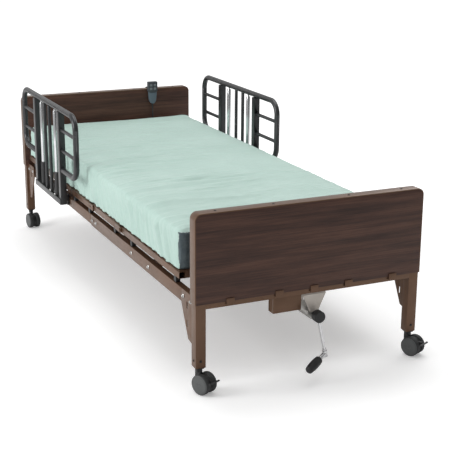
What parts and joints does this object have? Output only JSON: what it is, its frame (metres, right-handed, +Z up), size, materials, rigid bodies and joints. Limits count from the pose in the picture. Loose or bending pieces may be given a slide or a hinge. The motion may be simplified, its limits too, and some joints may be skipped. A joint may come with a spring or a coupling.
{
  "type": "hospital bed",
  "caption": "Wheeled home-care bed with panel ends, hinged deck and mattress, drop side rails, crank-driven telescoping legs, push actuators and a corded hand control.",
  "frame": {"origin": "on the floor under the middle of the whole bed with its crank", "axes": "+X across the bed to the right seen from the foot end, +Y along the bed towards the head end, +Z up"},
  "size_m": [1.006, 2.4201, 0.7747],
  "materials": {
    "frame_paint": "satin brown",
    "tan_paint": "satin tan",
    "band": "satin brown",
    "walnut": "satin dark walnut",
    "zinc": "zinc plated",
    "rail_grey": "satin charcoal",
    "chrome": "polished",
    "black_plastic": "fine grain",
    "tread": "satin grey",
    "grey_plastic": "fine grain",
    "pendant_grey": "fine grain",
    "key_light": "smooth",
    "cast": "as cast",
    "mint": "coated mattress cover"
  },
  "bodies": {
    "bed_frame": {"actuator_bodies": "grey_plastic", "control_box": "grey_plastic", "corner_brackets": "frame_paint", "deck_supports": "tan_paint", "drive_brackets": "tan_paint", "edge_bands": "band", "end_panels": "walnut", "foot_end_frame": "frame_paint", "foot_side_frame": "tan_paint", "frame_bolts": "zinc", "head_end_frame": "frame_paint", "head_side_frame": "frame_paint", "lift_gearboxes": "cast", "mattress_seat": "mint", "panel_fixings": "zinc", "pendant_body": "pendant_grey", "pendant_cord": "black_plastic", "rail_bases": "black_plastic", "seat_deck": "tan_paint"},
    "foot_legs": {"foot_inner_legs": "frame_paint"},
    "head_legs": {"head_inner_legs": "frame_paint"},
    "foot_screw": {"foot_lift_screw": "zinc"},
    "head_screw": {"head_lift_screw": "zinc"},
    "drive": {"drive_shaft": "zinc", "crank_hub": "black_plastic", "crank_arm": "zinc"},
    "elbow": {"crank_elbow": "zinc"},
    "grip": {"crank_grip": "black_plastic"},
    "backrest": {"backrest_frame": "tan_paint", "mattress_head": "mint", "mattress_back_bend": "mint"},
    "thigh": {"thigh_frame": "tan_paint", "mattress_thigh": "mint", "mattress_thigh_bend": "mint"},
    "calf": {"calf_frame": "tan_paint", "mattress_calf": "mint"},
    "back_rod": {"back_actuator_rod": "zinc"},
    "thigh_rod": {"thigh_actuator_rod": "zinc"},
    "left_rail": {"left_rail_frame": "rail_grey", "left_rail_posts": "chrome"},
    "right_rail": {"right_rail_frame": "rail_grey", "right_rail_posts": "chrome"},
    "left_foot_release": {"left_foot_release": "zinc"},
    "left_head_release": {"left_head_release": "zinc"},
    "right_foot_release": {"right_foot_release": "zinc"},
    "right_head_release": {"right_head_release": "zinc"},
    "foot_left_swivel": {"foot_left_caster": "grey_plastic"},
    "foot_left_wheels": {"foot_left_wheels": "tread"},
    "foot_right_swivel": {"foot_right_caster": "grey_plastic"},
    "foot_right_wheels": {"foot_right_wheels": "tread"},
    "head_left_swivel": {"head_left_caster": "grey_plastic"},
    "head_left_wheels": {"head_left_wheels": "tread"},
    "head_right_swivel": {"head_right_caster": "grey_plastic"},
    "head_right_wheels": {"head_right_wheels": "tread"},
    "foot_left_brake": {"foot_left_brake": "black_plastic"},
    "foot_right_brake": {"foot_right_brake": "black_plastic"},
    "head_up_key": {"head_up_key": "key_light"},
    "head_down_key": {"head_down_key": "key_light"},
    "knee_up_key": {"knee_up_key": "key_light"},
    "knee_down_key": {"knee_down_key": "key_light"}
  },
  "joints": [
    {"name": "height", "type": "slide", "parent": "bed_frame", "child": "foot_legs", "axis": [0, 0, -1], "range_m": [0, 0.203]},
    {"name": "head_height", "type": "slide", "parent": "bed_frame", "child": "head_legs", "axis": [0, 0, -1], "range_m": [0, 0.203]},
    {"name": "crank_turn", "type": "hinge", "parent": "bed_frame", "child": "drive", "pos_m": [0.01, -1.114, 0.233], "axis": [0, 1, 0], "range_deg": [0, 7308.01]},
    {"name": "foot_screw_turn", "type": "hinge", "parent": "bed_frame", "child": "foot_screw", "pos_m": [0.01, -1.058, 0.233], "axis": [0, 0, 1], "range_deg": [-7308.01, 0]},
    {"name": "head_screw_turn", "type": "hinge", "parent": "bed_frame", "child": "head_screw", "pos_m": [0.01, 1.186, 0.233], "axis": [0, 0, 1], "range_deg": [0, 7308.01]},
    {"name": "handle_fold", "type": "hinge", "parent": "drive", "child": "elbow", "pos_m": [0.0416, -1.114, 0.08432], "axis": [0.2079, 0, -0.9781], "range_deg": [-145, 31]},
    {"name": "grip_spin", "type": "hinge", "parent": "elbow", "child": "grip", "pos_m": [0.0416, -1.114, 0.08432], "axis": [-0.8203, -0.5446, -0.1744], "continuous": true},
    {"name": "back_raise", "type": "hinge", "parent": "bed_frame", "child": "backrest", "pos_m": [0, 0.419, 0.3785], "axis": [1, 0, 0], "range_deg": [0, 60], "deforming": ["mattress_back_bend"]},
    {"name": "thigh_raise", "type": "hinge", "parent": "bed_frame", "child": "thigh", "pos_m": [0, 0.119, 0.3785], "axis": [-1, 0, 0], "range_deg": [0, 30], "deforming": ["mattress_thigh_bend"]},
    {"name": "calf_fold", "type": "hinge", "parent": "thigh", "child": "calf", "pos_m": [0, -0.266, 0.3785], "axis": [1, 0, 0], "range_deg": [0, 48.01]},
    {"name": "back_push", "type": "slide", "parent": "bed_frame", "child": "back_rod", "axis": [0, 1, 0], "range_m": [0, 0.11852]},
    {"name": "thigh_push", "type": "slide", "parent": "bed_frame", "child": "thigh_rod", "axis": [0, -1, 0], "range_m": [0, 0.05795]},
    {"name": "left_rail_drop", "type": "slide", "parent": "bed_frame", "child": "left_rail", "axis": [0, 0, -1], "range_m": [0, 0.24]},
    {"name": "left_foot_pin_pull", "type": "slide", "parent": "bed_frame", "child": "left_foot_release", "axis": [0, 0, -1], "range_m": [0, 0.012], "stiffness_N_per_m": 600, "springref_m": -0.003},
    {"name": "left_head_pin_pull", "type": "slide", "parent": "bed_frame", "child": "left_head_release", "axis": [0, 0, -1], "range_m": [0, 0.012], "stiffness_N_per_m": 600, "springref_m": -0.003},
    {"name": "right_rail_drop", "type": "slide", "parent": "bed_frame", "child": "right_rail", "axis": [0, 0, -1], "range_m": [0, 0.24]},
    {"name": "right_foot_pin_pull", "type": "slide", "parent": "bed_frame", "child": "right_foot_release", "axis": [0, 0, -1], "range_m": [0, 0.012], "stiffness_N_per_m": 600, "springref_m": -0.003},
    {"name": "right_head_pin_pull", "type": "slide", "parent": "bed_frame", "child": "right_head_release", "axis": [0, 0, -1], "range_m": [0, 0.012], "stiffness_N_per_m": 600, "springref_m": -0.003},
    {"name": "foot_left_swivel_turn", "type": "hinge", "parent": "foot_legs", "child": "foot_left_swivel", "pos_m": [-0.434, -1.058, 0.094], "axis": [0, 0, 1], "continuous": true},
    {"name": "foot_left_roll", "type": "hinge", "parent": "foot_left_swivel", "child": "foot_left_wheels", "pos_m": [-0.42301, -1.08156, 0.0375], "axis": [0.9063, 0.4226, 0], "continuous": true},
    {"name": "foot_right_swivel_turn", "type": "hinge", "parent": "foot_legs", "child": "foot_right_swivel", "pos_m": [0.434, -1.058, 0.094], "axis": [0, 0, 1], "continuous": true},
    {"name": "foot_right_roll", "type": "hinge", "parent": "foot_right_swivel", "child": "foot_right_wheels", "pos_m": [0.44499, -1.08156, 0.0375], "axis": [0.9063, 0.4226, 0], "continuous": true},
    {"name": "head_left_swivel_turn", "type": "hinge", "parent": "head_legs", "child": "head_left_swivel", "pos_m": [-0.434, 1.186, 0.094], "axis": [0, 0, 1], "continuous": true},
    {"name": "head_left_roll", "type": "hinge", "parent": "head_left_swivel", "child": "head_left_wheels", "pos_m": [-0.43128, 1.16014, 0.0375], "axis": [0.9945, 0.1045, 0], "continuous": true},
    {"name": "head_right_swivel_turn", "type": "hinge", "parent": "head_legs", "child": "head_right_swivel", "pos_m": [0.434, 1.186, 0.094], "axis": [0, 0, 1], "continuous": true},
    {"name": "head_right_roll", "type": "hinge", "parent": "head_right_swivel", "child": "head_right_wheels", "pos_m": [0.43672, 1.16014, 0.0375], "axis": [0.9945, 0.1045, 0], "continuous": true},
    {"name": "foot_left_brake_press", "type": "hinge", "parent": "foot_left_swivel", "child": "foot_left_brake", "pos_m": [-0.40674, -1.11646, 0.0535], "axis": [0.9063, 0.4226, 0], "range_deg": [-4, 14]},
    {"name": "foot_right_brake_press", "type": "hinge", "parent": "foot_right_swivel", "child": "foot_right_brake", "pos_m": [0.46126, -1.11646, 0.0535], "axis": [0.9063, 0.4226, 0], "range_deg": [-4, 14]},
    {"name": "head_up_press", "type": "slide", "parent": "bed_frame", "child": "head_up_key", "axis": [0, 1, 0], "range_m": [0, 0.0015], "stiffness_N_per_m": 400, "springref_m": -0.0008},
    {"name": "head_down_press", "type": "slide", "parent": "bed_frame", "child": "head_down_key", "axis": [0, 1, 0], "range_m": [0, 0.0015], "stiffness_N_per_m": 400, "springref_m": -0.0008},
    {"name": "knee_up_press", "type": "slide", "parent": "bed_frame", "child": "knee_up_key", "axis": [0, 1, 0], "range_m": [0, 0.0015], "stiffness_N_per_m": 400, "springref_m": -0.0008},
    {"name": "knee_down_press", "type": "slide", "parent": "bed_frame", "child": "knee_down_key", "axis": [0, 1, 0], "range_m": [0, 0.0015], "stiffness_N_per_m": 400, "springref_m": -0.0008}
  ],
  "couplings": [
    {"joint": "head_height", "follows": "height", "ratio": 1},
    {"joint": "crank_turn", "follows": "height", "rad_per_m": 628.32},
    {"joint": "foot_screw_turn", "follows": "height", "rad_per_m": -628.32},
    {"joint": "head_screw_turn", "follows": "height", "rad_per_m": 628.32},
    {"joint": "calf_fold", "follows": "thigh_raise", "ratio": 1.6},
    {"joint": "back_push", "follows": "back_raise", "m_per_rad": 0.11317},
    {"joint": "thigh_push", "follows": "thigh_raise", "m_per_rad": 0.11067}
  ]
}
